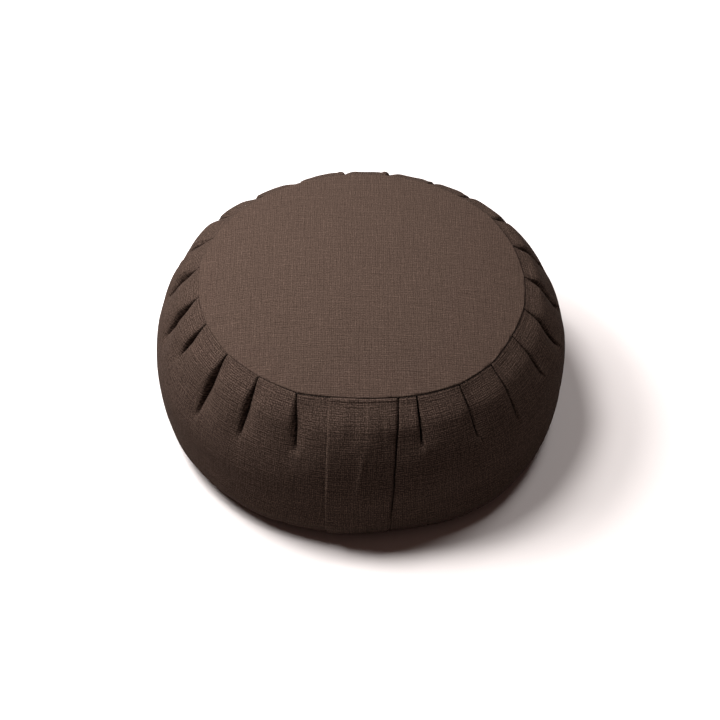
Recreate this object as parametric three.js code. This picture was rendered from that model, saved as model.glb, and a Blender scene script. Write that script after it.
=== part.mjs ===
import * as THREE from 'three';

// A round meditation cushion, in millimetres. It stands on z = 0 with its closure band facing -Y.
// Angles are in degrees about +Z, with 0 on +X, so the middle of the band is near -90.

// Filled side, read as a meridian from the bottom seam up to the top seam.
const GIRTH_RADIUS = 175;
const GIRTH_HEIGHT = 56;
const TOP_SEAM_HEIGHT = 129;
const UPPER_FULLNESS = 1.1;    // power of the upper arc: 1 is a plain ellipse, more is slacker
const BOTTOM_SEAM_RADIUS = 137;
const RIM_HEIGHT = 0.6;        // the pleated rim rides just clear of the floor beside the bottom panel
const LOWER_FULLNESS = 0.46;   // the lower arc sags on the floor and turns under in a tight corner

// Cloth panels.
const CLOTH = 2;
const GAP = 0.3;
const CROWN_RISE = 17;         // middle of the top panel above its own seam
const SEAM_DIP = 1.6;          // how far the stitching draws both sides of the seam in
const SEAM_REACH = 3.5;        // how far from the stitching that dip has gone
const PANEL_ROUNDING = 0.7;    // the turned edge of a panel

// Knife pleats at the top seam, one row each, going round from the right of the closure band.
// angle: where the fold meets the seam    ring: distance of the seam from the axis there
// length: how far the fold runs down      depth: how far the lower layer dips    dip: width of that dip
const TOP_PLEATS = [
  { angle: -71.1, ring: 137.6, length: 40, depth: 4.6, dip: 9 },
  { angle: -56.1, ring: 140.6, length: 48, depth: 4.4, dip: 13 },
  { angle: -42.2, ring: 140.4, length: 52, depth: 3.6, dip: 12 },
  { angle: -26.7, ring: 137.2, length: 42, depth: 3.4, dip: 12 },
  { angle: -12.9, ring: 137.4, length: 46, depth: 3.6, dip: 12 },
  { angle: 3.8, ring: 136.2, length: 46, depth: 3.8, dip: 13 },
  { angle: 20.4, ring: 136.2, length: 40, depth: 4.0, dip: 13 },
  { angle: 36.6, ring: 138.0, length: 44, depth: 4.0, dip: 13 },
  { angle: 53.2, ring: 138.4, length: 42, depth: 4.0, dip: 12 },
  { angle: 66.2, ring: 138.8, length: 46, depth: 4.4, dip: 12 },
  { angle: 81.0, ring: 138.6, length: 38, depth: 3.8, dip: 12 },
  { angle: 95.5, ring: 138.6, length: 46, depth: 4.4, dip: 13 },
  { angle: 111.2, ring: 138.2, length: 46, depth: 4.4, dip: 13 },
  { angle: 126.4, ring: 138.0, length: 44, depth: 4.2, dip: 13 },
  { angle: 140.7, ring: 137.8, length: 46, depth: 4.4, dip: 13 },
  { angle: 155.8, ring: 137.6, length: 44, depth: 4.4, dip: 13 },
  { angle: 170.6, ring: 136.8, length: 50, depth: 4.8, dip: 14 },
  { angle: 186.1, ring: 135.6, length: 52, depth: 4.8, dip: 14 },
  { angle: 200.4, ring: 136.4, length: 42, depth: 4.6, dip: 13 },
  { angle: 217.1, ring: 136.2, length: 58, depth: 5.2, dip: 15 },
  { angle: 232.1, ring: 136.0, length: 50, depth: 5.0, dip: 14 },
  { angle: 247.4, ring: 137.4, length: 44, depth: 4.8, dip: 12 },
];
const FOLD_LIP = 0.8;          // how far the folded edge of the upper layer stands up
const FOLD_LIP_REACH = 7;      // where that edge has settled back into its panel
const PANEL_SWELL = 1.2;       // how far the filling pushes the cloth out between two folds
const PANEL_MIDDLE = 16;       // where that swelling is fullest, measured from the fold behind it
const FOLD_WALL = 0.9;         // width of the steep wall under the folded edge
const FOLD_LIP_CREST = 0.3;    // share of its reach at which the folded edge is still full
const DIP_STATIONS = [1, 0.62, 0.32]; // where the dip is sampled, as shares of its width
const FOLD_START = 0.5;        // share of a fold's depth already present at the seam
const FOLD_DEEPEST = 0.35;     // share of a fold's length at which it is deepest
const DIP_CURVE = 1.7;         // how suddenly the lower layer dives under the upper one
const FOLD_SPREAD_RADIUS = 150; // radius at which widths across a fold are measured

// The same folds are sewn in at the bottom seam, shorter and pressed by the floor.
const BOTTOM_PLEAT_LENGTH = 44;
const BOTTOM_PLEAT_DEPTH = 3.2;

// Closure band: a parallel strip sewn in over the opening, one row for each height it is measured at.
// along: distance down the side from the top seam    left, right: angles of its two edges
const BAND_EDGES = [
  { along: 0, left: -101.0, right: -77.2 },
  { along: 30, left: -99.9, right: -79.4 },
  { along: 62, left: -99.6, right: -80.9 },
  { along: 104, left: -99.6, right: -81.9 },
  { along: 170, left: -99.8, right: -82.4 },
];
const BAND_RING = { left: 134.4, right: 135.6 };  // distance of the top seam from the axis at its edges
const BAND_END_REACH = 16;     // the band rises out of the top seam over this length
const BAND_FLOOR_RUN = 26;     // the length of it that lies flush with the rim, next to the floor
const BAND_TUCK = 1.2;         // extra depth of its right edge, under the neighbouring folded edge
const BAND_COLUMNS = [0, 0.18, 0.36, 0.54, 0.72, 0.88, 1];
const OVERLAP_LIP = 0.8;       // the folded edge of the side that lies over the band
const OVERLAP_WALL = 0.6;      // width of the step under that edge

// Where the side is sampled, as shares of the upper arc and of the lower arc.
const UPPER_ROWS = [1, 0.95, 0.87, 0.75, 0.64, 0.53, 0.43, 0.34, 0.25, 0.17, 0.1, 0.04, 0];
const LOWER_ROWS = [1, 0.9, 0.78, 0.62, 0.46, 0.28, 0.12];
const CROWN_RINGS = [
  { share: 1, inset: 0 },
  { share: 1, inset: PANEL_ROUNDING },
  { share: 0.975, inset: 0 },
  { share: 0.9, inset: 0 },
  { share: 0.7, inset: 0 },
  { share: 0.4, inset: 0 },
  { share: 0, inset: 0 },
];

const ANGLE_SLACK = 1e-9;
const CLOTH_LOOK = { color: 0x5f4e45, roughness: 0.94, metalness: 0 };

function smooth(value) {
  const t = Math.min(Math.max(value, 0), 1);
  return t * t * (3 - 2 * t);
}

function mix(from, to, share) {
  return from + (to - from) * share;
}

function radians(degrees) {
  return degrees * Math.PI / 180;
}

// Both seams run straight from one sewn corner to the next: the pleats and the two band edges.
const BAND_TOP = BAND_EDGES[0];
const BAND_BOTTOM = BAND_EDGES[BAND_EDGES.length - 1];
const TOP_CORNERS = [
  ...TOP_PLEATS.map((pleat) => ({ angle: pleat.angle, ring: pleat.ring })),
  { angle: BAND_TOP.left + 360, ring: BAND_RING.left },
  { angle: BAND_TOP.right + 360, ring: BAND_RING.right },
];
const BOTTOM_CORNERS = [
  ...TOP_PLEATS.map((pleat) => ({ angle: pleat.angle, ring: BOTTOM_SEAM_RADIUS })),
  { angle: BAND_BOTTOM.left + 360, ring: BOTTOM_SEAM_RADIUS },
  { angle: BAND_BOTTOM.right + 360, ring: BOTTOM_SEAM_RADIUS },
];

function turnsFrom(start, angle) {
  return ((angle - start) % 360 + 360) % 360;
}

function seamRadius(corners, angle) {
  const first = corners[0].angle;
  const swing = turnsFrom(first, angle);
  let index = corners.length - 1;
  while (turnsFrom(first, corners[index].angle) > swing + ANGLE_SLACK) {
    index -= 1;
  }
  const from = corners[index];
  const to = corners[(index + 1) % corners.length];
  const past = radians(turnsFrom(from.angle, angle));
  const whole = radians(turnsFrom(from.angle, to.angle));
  return from.ring * to.ring * Math.sin(whole)
    / (from.ring * Math.sin(past) + to.ring * Math.sin(whole - past));
}

// One point of the plain meridian: arc is 'upper' or 'lower', share runs from the girth to the seam.
function meridian(arc, share, ring) {
  const turn = share * Math.PI / 2;
  if (arc === 'upper') {
    return {
      radius: ring + (GIRTH_RADIUS - ring) * Math.cos(turn) ** UPPER_FULLNESS,
      height: GIRTH_HEIGHT + (TOP_SEAM_HEIGHT - GIRTH_HEIGHT) * Math.sin(turn) ** UPPER_FULLNESS,
    };
  }
  return {
    radius: ring + (GIRTH_RADIUS - ring) * Math.cos(turn) ** LOWER_FULLNESS,
    height: GIRTH_HEIGHT - (GIRTH_HEIGHT - RIM_HEIGHT) * Math.sin(turn) ** LOWER_FULLNESS,
  };
}

// Rows of the side from the top seam down, each with its distance from both seams along the cloth.
function sideRows() {
  const ring = BOTTOM_SEAM_RADIUS;
  const rows = [
    ...UPPER_ROWS.map((share) => ({ arc: 'upper', share, ...meridian('upper', share, ring) })),
    ...LOWER_ROWS.slice().reverse().map((share) => ({ arc: 'lower', share, ...meridian('lower', share, ring) })),
  ];
  let along = 0;
  rows.forEach((row, index) => {
    const above = rows[Math.max(index - 1, 0)];
    along += Math.hypot(row.radius - above.radius, row.height - above.height);
    row.along = along;
  });
  rows.forEach((row, index) => {
    const above = rows[Math.max(index - 1, 0)];
    const below = rows[Math.min(index + 1, rows.length - 1)];
    const run = Math.hypot(above.radius - below.radius, above.height - below.height);
    row.outward = { radius: (above.height - below.height) / run, height: (below.radius - above.radius) / run };
    row.fromBottom = along - row.along;
  });
  rows[0].outward = { radius: 0, height: 1 };
  rows[rows.length - 1].outward = { radius: 0, height: -1 };
  return rows;
}

const SIDE_ROWS = sideRows();

function bandEdge(side, along) {
  let index = 0;
  while (index < BAND_EDGES.length - 2 && BAND_EDGES[index + 1].along < along) {
    index += 1;
  }
  const above = BAND_EDGES[index];
  const below = BAND_EDGES[index + 1];
  const share = Math.min((along - above.along) / (below.along - above.along), 1);
  return mix(above[side], below[side], share);
}

// How free the band is of the seams at its two ends: 0 where it is sewn in, 1 along its middle.
function bandFreedom(row) {
  return smooth(Math.min(row.along, row.fromBottom - BAND_FLOOR_RUN) / BAND_END_REACH);
}

// How far the band is sunk into the side at a share of its width, 0 at its free left edge.
function bandSink(across, row) {
  const sewnIn = 1 - bandFreedom(row);
  const tuck = BAND_TUCK * (1 - sewnIn) * across;
  return mix((CLOTH + GAP) * sewnIn, CLOTH + GAP, across) + tuck;
}

// Strength of a fold at a distance from its seam: part there at once, then deepest, then gone.
function foldStrength(along, length) {
  const share = along / length;
  if (share < FOLD_DEEPEST) {
    return mix(FOLD_START, 1, smooth(share / FOLD_DEEPEST));
  }
  return 1 - smooth((share - FOLD_DEEPEST) / (1 - FOLD_DEEPEST));
}

// Height of one pleat above its panel, at a distance across the fold (minus is the lower layer).
function foldHeight(pleat, across, row) {
  const top = foldStrength(row.along, pleat.length);
  const bottom = foldStrength(row.fromBottom, BOTTOM_PLEAT_LENGTH);
  if (across > -FOLD_WALL / 2) {
    return FOLD_LIP * Math.max(top, bottom) * (1 - smooth(across / FOLD_LIP_REACH));
  }
  const dive = Math.max((across + pleat.dip) / (pleat.dip - FOLD_WALL), 0) ** DIP_CURVE;
  return -dive * Math.max(top * pleat.depth, bottom * BOTTOM_PLEAT_DEPTH);
}

// Columns of the side in order round the cushion. Each gives its angle and its height in a row.
function pleatColumns(pleat) {
  const spread = (across) => across / FOLD_SPREAD_RADIUS * 180 / Math.PI;
  const dipStations = DIP_STATIONS.map((share) => -share * pleat.dip);
  const stations = [...dipStations, -FOLD_WALL, 0, FOLD_LIP_REACH * FOLD_LIP_CREST, FOLD_LIP_REACH];
  const fold = stations.map((across) => ({
    angleAt: () => pleat.angle + spread(across),
    heightAt: (row) => foldHeight(pleat, across, row),
  }));
  const swelling = {
    angleAt: () => pleat.angle + spread(PANEL_MIDDLE),
    heightAt: (row) => PANEL_SWELL * foldStrength(row.along, pleat.length),
  };
  return [...fold, swelling];
}

function bandColumns() {
  const inside = BAND_COLUMNS.map((across) => ({
    across,
    angleAt: (row) => mix(bandEdge('left', row.along), bandEdge('right', row.along), across),
    heightAt: (row) => -bandSink(across, row),
  }));
  const overlap = {
    angleAt: (row) => bandEdge('right', row.along) + OVERLAP_WALL / row.radius * 180 / Math.PI,
    heightAt: (row) => OVERLAP_LIP * bandFreedom(row),
  };
  return [...inside, overlap];
}

const BAND = bandColumns();
const COLUMNS = [...BAND, ...TOP_PLEATS.flatMap(pleatColumns)];

// A point on the side: a column, a row and a distance outwards from that column's own surface.
function sidePoint(column, row, offset) {
  const angle = column.angleAt(row);
  const corners = row.arc === 'upper' ? TOP_CORNERS : BOTTOM_CORNERS;
  const plain = meridian(row.arc, row.share, seamRadius(corners, angle) + GAP / 2);
  const drawnIn = SEAM_DIP * (1 - smooth(row.along / SEAM_REACH));
  const lift = column.heightAt(row) + offset - drawnIn;
  const radius = plain.radius + row.outward.radius * lift;
  const height = plain.height + row.outward.height * lift;
  return new THREE.Vector3(radius * Math.cos(radians(angle)), radius * Math.sin(radians(angle)), height);
}

// Height of the top panel at a share of the way out from its middle to its seam.
function crownHeight(share) {
  const edge = (share * BOTTOM_SEAM_RADIUS - BOTTOM_SEAM_RADIUS + SEAM_REACH) / SEAM_REACH;
  return TOP_SEAM_HEIGHT + CROWN_RISE * (1 - share * share) - SEAM_DIP * smooth(edge);
}

function ringPoint(angle, radius, height) {
  return new THREE.Vector3(radius * Math.cos(radians(angle)), radius * Math.sin(radians(angle)), height);
}

// A turned cage whose points are then placed one by one: place(column index, row index).
function turnedShape(profile, columnCount, place) {
  const outline = profile.map((point) => new THREE.Vector2(point.radius, point.height));
  const geometry = new THREE.LatheGeometry(outline, columnCount);
  const position = geometry.attributes.position;
  for (let column = 0; column <= columnCount; column += 1) {
    for (let row = 0; row < profile.length; row += 1) {
      const point = place(column % columnCount, row);
      position.setXYZ(column * profile.length + row, point.x, point.y, point.z);
    }
  }
  geometry.computeVertexNormals();
  return geometry;
}

// The filled cushion in its pleated side strip, with seats for the two round panels and the band.
function filledSide() {
  const seat = CLOTH + GAP;
  const rows = [
    { kind: 'floor', share: 0, inset: 0, radius: 0, height: seat },
    { kind: 'floor', share: 1, inset: 0, radius: BOTTOM_SEAM_RADIUS, height: seat },
    ...SIDE_ROWS.slice().reverse().map((row) => ({ kind: 'side', row, radius: row.radius, height: row.height })),
    ...CROWN_RINGS.map((ring) => ({
      ...ring,
      kind: 'crown',
      radius: ring.share * BOTTOM_SEAM_RADIUS - ring.inset,
      height: crownHeight(ring.share) - seat,
    })),
  ];
  return turnedShape(rows, COLUMNS.length, (columnIndex, rowIndex) => {
    const column = COLUMNS[columnIndex];
    const { kind, row, share, inset, height } = rows[rowIndex];
    if (kind === 'side') {
      return sidePoint(column, row, 0);
    }
    const wall = share === 1 && inset === 0 ? GAP / 2 : 0;
    if (kind === 'floor') {
      const angle = column.angleAt(SIDE_ROWS[SIDE_ROWS.length - 1]);
      return ringPoint(angle, share * seamRadius(BOTTOM_CORNERS, angle) + wall, height);
    }
    const angle = column.angleAt(SIDE_ROWS[0]);
    return ringPoint(angle, share * seamRadius(TOP_CORNERS, angle) - inset + wall, height);
  });
}

// A round panel of cloth whose outline has a corner at every pleat: rings from its middle underside,
// round the turned edge and back to the middle of its face.
function roundPanel(rings, corners) {
  const profile = rings.map((ring) => ({ radius: ring.share * BOTTOM_SEAM_RADIUS - ring.inset, height: ring.height }));
  return turnedShape(profile, corners.length, (columnIndex, rowIndex) => {
    const { share, inset, height } = rings[rowIndex];
    const { angle } = corners[columnIndex];
    return ringPoint(angle, share * seamRadius(corners, angle) - inset, height);
  });
}

function topPanel() {
  const face = CROWN_RINGS.slice(1);
  const rings = [
    ...face.slice().reverse().map((ring) => ({ ...ring, height: crownHeight(ring.share) - CLOTH })),
    { share: 1, inset: GAP / 2, height: crownHeight(1) - CLOTH / 2 },
    ...face.map((ring) => ({ ...ring, height: crownHeight(ring.share) })),
  ];
  return roundPanel(rings, TOP_CORNERS);
}

// The bottom panel lies flat on the floor inside the bottom seam.
function bottomPanel() {
  const rings = [
    { share: 0, inset: 0, height: 0 },
    { share: 1, inset: PANEL_ROUNDING, height: 0 },
    { share: 1, inset: GAP / 2, height: CLOTH / 2 },
    { share: 1, inset: PANEL_ROUNDING, height: CLOTH },
    { share: 0, inset: 0, height: CLOTH },
  ];
  return roundPanel(rings, BOTTOM_CORNERS);
}

// The closure band: a flat strip of cloth bent over the side, 0.3 mm off it all the way down.
function closureBand() {
  const columns = BAND.slice(0, BAND_COLUMNS.length);
  const geometry = new THREE.BoxGeometry(1, 1, 1, columns.length - 1, SIDE_ROWS.length - 1, 1);
  const position = geometry.attributes.position;
  for (let index = 0; index < position.count; index += 1) {
    const column = columns[Math.round((position.getX(index) + 0.5) * (columns.length - 1))];
    const row = SIDE_ROWS[Math.round((0.5 - position.getY(index)) * (SIDE_ROWS.length - 1))];
    const offset = position.getZ(index) > 0 ? GAP + CLOTH : GAP;
    const rightClearance = column.across === 1 ? GAP / row.radius * 180 / Math.PI : 0;
    const inset = { ...column, angleAt: (at) => column.angleAt(at) - rightClearance };
    const point = sidePoint(inset, row, offset);
    position.setXYZ(index, point.x, point.y, point.z);
  }
  geometry.computeVertexNormals();
  return geometry;
}

function piece(name, geometry) {
  const mesh = new THREE.Mesh(geometry, new THREE.MeshStandardMaterial(CLOTH_LOOK));
  mesh.name = name;
  return mesh;
}

const cushion = new THREE.Group();
cushion.name = 'zafu';
cushion.add(piece('pleated_side', filledSide()));
cushion.add(piece('top_panel', topPanel()));
cushion.add(piece('bottom_panel', bottomPanel()));
cushion.add(piece('closure_band', closureBand()));

export default cushion;
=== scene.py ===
import math
from collections import namedtuple

import bpy
import numpy as np
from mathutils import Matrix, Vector


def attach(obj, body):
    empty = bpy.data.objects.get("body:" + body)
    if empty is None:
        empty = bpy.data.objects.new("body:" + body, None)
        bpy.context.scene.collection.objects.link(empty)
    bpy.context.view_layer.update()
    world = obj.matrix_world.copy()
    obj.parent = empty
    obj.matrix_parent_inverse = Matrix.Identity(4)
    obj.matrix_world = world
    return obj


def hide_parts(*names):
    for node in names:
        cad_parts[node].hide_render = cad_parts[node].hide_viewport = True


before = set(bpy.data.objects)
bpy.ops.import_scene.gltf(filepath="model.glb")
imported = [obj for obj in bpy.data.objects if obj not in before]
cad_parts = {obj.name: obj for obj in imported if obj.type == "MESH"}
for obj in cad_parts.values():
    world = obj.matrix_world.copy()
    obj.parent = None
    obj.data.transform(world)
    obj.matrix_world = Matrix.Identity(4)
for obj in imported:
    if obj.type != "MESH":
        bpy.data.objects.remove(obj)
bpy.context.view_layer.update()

# A round meditation cushion. Sizes are in millimetres and angles in degrees until a mesh is made:
# 0 is +X, -90 is the front, where the closure band stands.
MM = 0.001
SEED = 11

# Filled side, read as a meridian from the top seam down to the bottom seam.
GIRTH_RADIUS = 175.0
GIRTH_HEIGHT = 56.0
TOP_SEAM_HEIGHT = 129.0
UPPER_FULLNESS = 1.75  # power of the upper arc: more is slacker
BOTTOM_SEAM_RADIUS = 137.0
RIM_HEIGHT = 0.6
BASE_CLEAR = 0.1  # of the side, above the floor
LOWER_FULLNESS = 0.46  # less turns under more tightly
CROWN_RISE = 17.0  # top panel's middle above its seam
UPPER_SAMPLES = 1500
LOWER_SAMPLES = 6000
MERIDIAN_STEP = 0.1
GIRTH_ROUND = 9.0  # the filling rounds the girth
ROUND_BELOW_TOP = 25.0  # but not beside either seam
ROUND_ABOVE_BASE = 20.0
ROUND_EASE = 25.0

# Knife pleats at the top seam, going round from the right of the closure band.
# angle, ring: where the fold meets the seam    length: how far it runs down
# depth, dip: depth and width of its groove    slant: how far round it drifts on its way down
# taut: how far it is drawn in between its two swollen panels
# gape: 1 for an open fold, 0 for a flat one
# roll: 0 for a crisp edge over a deep dip, 1 for a full rolled edge over a gentle one
Pleat = namedtuple("Pleat", "angle ring length depth dip slant taut gape roll")
TOP_PLEATS = [
    Pleat(-71.1, 137.6, 40, 5.4, 9, -1.8, 0.55, 1.05, 0.00),
    Pleat(-56.2, 141.6, 48, 4.4, 10, 0.0, 0.55, 0.65, 0.00),
    Pleat(-42.2, 141.4, 52, 3.6, 10, 0.0, 0.25, 0.45, 0.25),
    Pleat(-26.7, 137.8, 42, 3.8, 10, 0.0, 0.35, 0.18, 0.50),
    Pleat(-12.5, 137.4, 46, 4.4, 10, 0.0, 0.50, 0.25, 0.80),
    Pleat(3.8, 136.2, 46, 5.0, 11, 0.0, 0.65, 0.30, 1.00),
    Pleat(20.4, 136.2, 40, 5.0, 11, 0.0, 0.75, 0.30, 1.00),
    Pleat(36.6, 138.0, 44, 5.0, 11, 0.0, 0.75, 0.30, 1.00),
    Pleat(53.2, 138.4, 42, 5.0, 11, 0.0, 0.40, 0.30, 0.45),
    Pleat(66.2, 138.8, 46, 5.0, 11, 0.0, 0.30, 0.35, 0.40),
    Pleat(81.0, 138.6, 38, 4.6, 11, 0.0, 0.20, 0.35, 0.60),
    Pleat(95.5, 138.6, 46, 4.6, 11, 0.0, 0.30, 0.40, 0.60),
    Pleat(111.2, 138.2, 46, 7.0, 11, 0.0, 0.80, 0.55, 0.10),
    Pleat(126.4, 138.0, 44, 8.0, 11, 0.0, 0.75, 0.55, 0.00),
    Pleat(140.7, 137.8, 46, 8.0, 12, 0.0, 0.75, 0.55, 0.00),
    Pleat(155.8, 137.6, 44, 8.0, 12, 0.0, 0.85, 0.65, 0.00),
    Pleat(171.2, 136.8, 50, 7.0, 12, 0.0, 1.00, 0.80, 0.00),
    Pleat(186.9, 136.0, 52, 4.8, 12, 0.5, 1.00, 1.00, 0.00),
    Pleat(200.8, 136.2, 36, 4.6, 11, 0.0, 0.90, 1.05, 0.00),
    Pleat(217.5, 137.0, 58, 5.2, 13, 0.3, 1.00, 1.15, 0.00),
    Pleat(232.9, 136.8, 50, 5.0, 12, 1.2, 1.00, 1.05, 0.00),
    Pleat(248.0, 137.4, 44, 4.8, 10, 4.0, 1.00, 0.95, 0.00),
]
PLEAT_RUN = 1.22  # a fold fades out at this many times its length
BOTTOM_PLEAT_LENGTH = 44.0
BOTTOM_PLEAT_DEPTH = 3.0
BOTTOM_GROOVE = 0.5

# How a pleat is folded. A share along a fold is 0 at its seam and 1 where it has gone.
FOLD_OVERLAP = 4.5  # the lower layer goes on this far under the lip
OVERLAP_TAPER = 0.8
# start, full, end and fade of a fold's opening, of the hollow beside it and of its rolled edge
OPENING = (0.3, 0.4, 0.4, 0.6)
DIMPLE = (0.15, 0.7, 0.75, 0.5)
ROLLING = (0.0, 0.35, 0.5, 0.4)
FOLD_BLEND = 0.3  # last share, where it flattens into its panel
TAUT_UNTIL = 0.4
DRIFT_FADE = 60.0
LIP_RADIUS = 0.9  # a crisp edge
ROLL_RADIUS = 2.6  # a rolled edge
ROLL_DIP = 1.6
END_ROLL = 0.7  # every edge rounds off toward its lower end
END_ROLL_FROM = 0.5
END_ROLL_FADE = 0.3
LIP_LAYERS = 2.3  # a fold is this many lip radii deep or more
LIP_RISE = 2.6  # a slack edge stands up, a taut one is drawn down
LIP_DROP = 0.3
LIP_REACH = 3.2
GROOVE_SHARE = 0.2  # the broad hollow beside a fold
GROOVE_DEPTH = 5.0
GROOVE_NARROW = 0.5
GROOVE_FULL = 0.6
FLAT_GROOVE = 0.25  # what a flat fold keeps of its groove, plunge and mouth
FLAT_PLUNGE = 0.35
FLAT_MOUTH = 0.12
PLUNGE = 2.1  # the steep part of the groove, next to the lip
PLUNGE_START = 0.9
PLUNGE_FULL = 0.25
PLUNGE_FADE = 0.7
PLUNGE_TAPER = 1.5
PLUNGE_WIDTH = 2.1
PLUNGE_UNDER = 0.8
MOUTH_START = 0.6
MOUTH_FULL = 0.45
MOUTH_END = 1.3
SHOULDER_SWELL = 0.5  # the cloth rolls over into the plunge
SHOULDER_BACK = 2.0
SHOULDER_REACH = 4.0
FOLD_END_BUMP = 1.0  # where a fold runs out
FOLD_END_PLACE = 0.86
FOLD_END_ASIDE = 2.5
FOLD_END_SPREAD = (3.0, 6.0)

# How a panel swells between its folds. A pair is for a crisp and for a rolled fold.
PANEL_SWELL = 6.2
SWELL_RISE = (26.0, 15.0)
SWELL_FULL = 48.0
SWELL_FALL = 55.0
LIP_RAMP = (15.0, 4.5)
FAR_RAMP = (4.0, 12.0)

# Closure band: angles of its two edges at distances down the side from the top seam.
BAND_ALONG = [0, 30, 62, 104, 180]
BAND_LEFT = [259.0, 260.1, 260.4, 260.4, 260.2]
BAND_RIGHT = [282.8, 280.6, 279.1, 278.1, 277.6]
BAND_RING_LEFT = 134.4
BAND_RING_RIGHT = 135.6
BAND_THICKNESS = 1.8
BAND_CLEAR = 0.35  # its gap to the side under it
BAND_PROUD = 2.8  # height of its free left edge
BAND_FLUSH = 0.1  # height at its right
BAND_SLOPE = 1.2
BAND_SEWN_RUN = 18.0  # it comes free of the top seam over this length
BAND_FLOOR_RUN = 26.0  # and goes flush again over this one
BAND_FLOOR_END = 24.0
BAND_SEWN_PROUD = 0.45  # what its seams leave of its height and tuck
BAND_SEWN_TUCK = 0.5
BAND_TUCK = 4.2  # how deep it goes under the folded edge at its right
BAND_MOUTH = 3.2
BAND_UNDER = 1.2
BAND_OVERLAP = 4.0
BAND_TUCK_CLEAR = 1.2
BAND_HELD = 0.5
BAND_LIP_END = 30.0
BAND_CLOSED = 0.32  # how open the folded edge is toward the base
BAND_OPEN_END = 122.0
BAND_CLOSING = 32.0
BAND_BEVEL = 1.6  # pressed left edge
BAND_EDGE_STEPS = [0.0, 0.3, 0.6, 0.9, 1.2, 1.5, 1.9, 2.4]
BAND_EDGE_RUN = 3.2
BAND_ROLL_STEPS = 7
BAND_STEPS = 30
BAND_TUCKED_STEPS = 13
BAND_STEP_START = 0.02  # the side steps down under the free edge
BAND_STEP_RAMP = 12
BAND_TOP_ROLL = 0.6  # small roll of cloth beside the top seam
BAND_TOP_ROLL_AT = 1.4

# Creases and drags of the cloth, each a soft ridge or hollow along a straight run down the side.
CREASE_LEVEL = 12.5  # a crease that falls less than this is followed by its angle
CREASE_PAST = 0.12
CREASE_FADE = 0.3
# angle and along of both ends, height of the ridge (negative for a hollow), spread either way
Crease = namedtuple("Crease", "angle along to_angle to_along height spread")
BAND_CREASES = [
    Crease(270.6, 44, 267.0, 114, 1.6, 2.1),
    Crease(272.2, 56, 269.2, 112, -0.5, 2.6),
    Crease(276.4, 2, 276.0, 44, -0.7, 2.2),
    Crease(272.4, 2, 272.2, 40, 0.6, 2.4),
    Crease(267.6, 2, 267.6, 36, -0.6, 2.4),
    Crease(264.6, 3, 264.8, 32, 0.6, 2.2),
]
SIDE_CREASES = [
    Crease(283.2, 83, 293.4, 71, 0.5, 2.0),
    Crease(283.6, 90, 292.0, 80, -0.4, 2.0),
    Crease(300.3, 3, 300.8, 22, 0.7, 1.8),
    Crease(299.4, 3, 299.8, 22, -0.5, 1.6),
    Crease(291.5, 36, 288.0, 58, 0.4, 2.2),
    Crease(254.5, 44, 256.5, 62, 0.5, 2.4),
    Crease(236.5, 50, 239.5, 66, 0.4, 2.4),
    Crease(82.2, 0, 82.4, 16, 2.0, 2.4),
    Crease(96.8, 0, 97.0, 16, 1.8, 2.4),
]

# Seams: a groove, closed at the left, that runs partly straight from corner to corner.
SEAM_DIP = 0.7
SEAM_DIP_LEFT = 0.25
SEAM_REACH = 1.8
SEAM_GAP = 0.25
SEAM_GAP_LEFT = 0.1
SEAM_TAUT = 0.35
LEFT_FROM = 0.15
LEFT_EASE = 0.7
ALLOWANCE_DROPS = (3.6, 1.6)
ALLOWANCE_INSET = 0.93
ALLOWANCE_DEPTH = 5.0

# Top and bottom panels.
SHEET_THICKNESS = 1.8
CROWN_POWER = 2.1
CORNERED_FROM = 0.3
CORNERED_OVER = 0.65
PANEL_EDGE_RISE = 0.9
PANEL_EDGE_ROUND = 0.6
PANEL_EDGE_STEPS = [3.2, 2.4, 1.7, 1.1, 0.6, 0.25, 0.0]
SKIRT_DROP = 1.2
SKIRT_INSET = 0.994
PANEL_UNDER_ROWS = (-8, -14, -26, 4)
PANEL_STEPS = 16
PUCKER_HEIGHT = 0.6
PUCKER_REACH = 14.0
PUCKER_EASE = 1.5
PUCKER_BACK = 0.35
PUCKER_WAVES = 9
PUCKER_TURNS = (24, 52)
SIDE_TOP_SINK = 9.0
BOTTOM_INSIDE = 2.6
# Section of the bottom panel, over its upper face and back along the floor: share of its radius, height.
BOTTOM_SECTION = [
    (0.1, 1.9), (0.5, 1.9), (0.95, 1.9), (0.996, 1.9), (1.0, 1.0),
    (0.996, 0.1), (0.985, 0.0), (0.7, 0.0), (0.4, 0.0), (0.1, 0.0),
]

# How the filling has settled: how far the side stands out or in at its shoulder, its girth and below.
SETTLED_SPREAD = 4.0
SETTLED_TOP = 30.0
SETTLED_SHOULDER = 50.0
SETTLED_GIRTH = 85.0
SETTLED_EASE = 35.0
SETTLED_BASE = 45.0
SETTLED_BASE_EASE = 40.0
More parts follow.
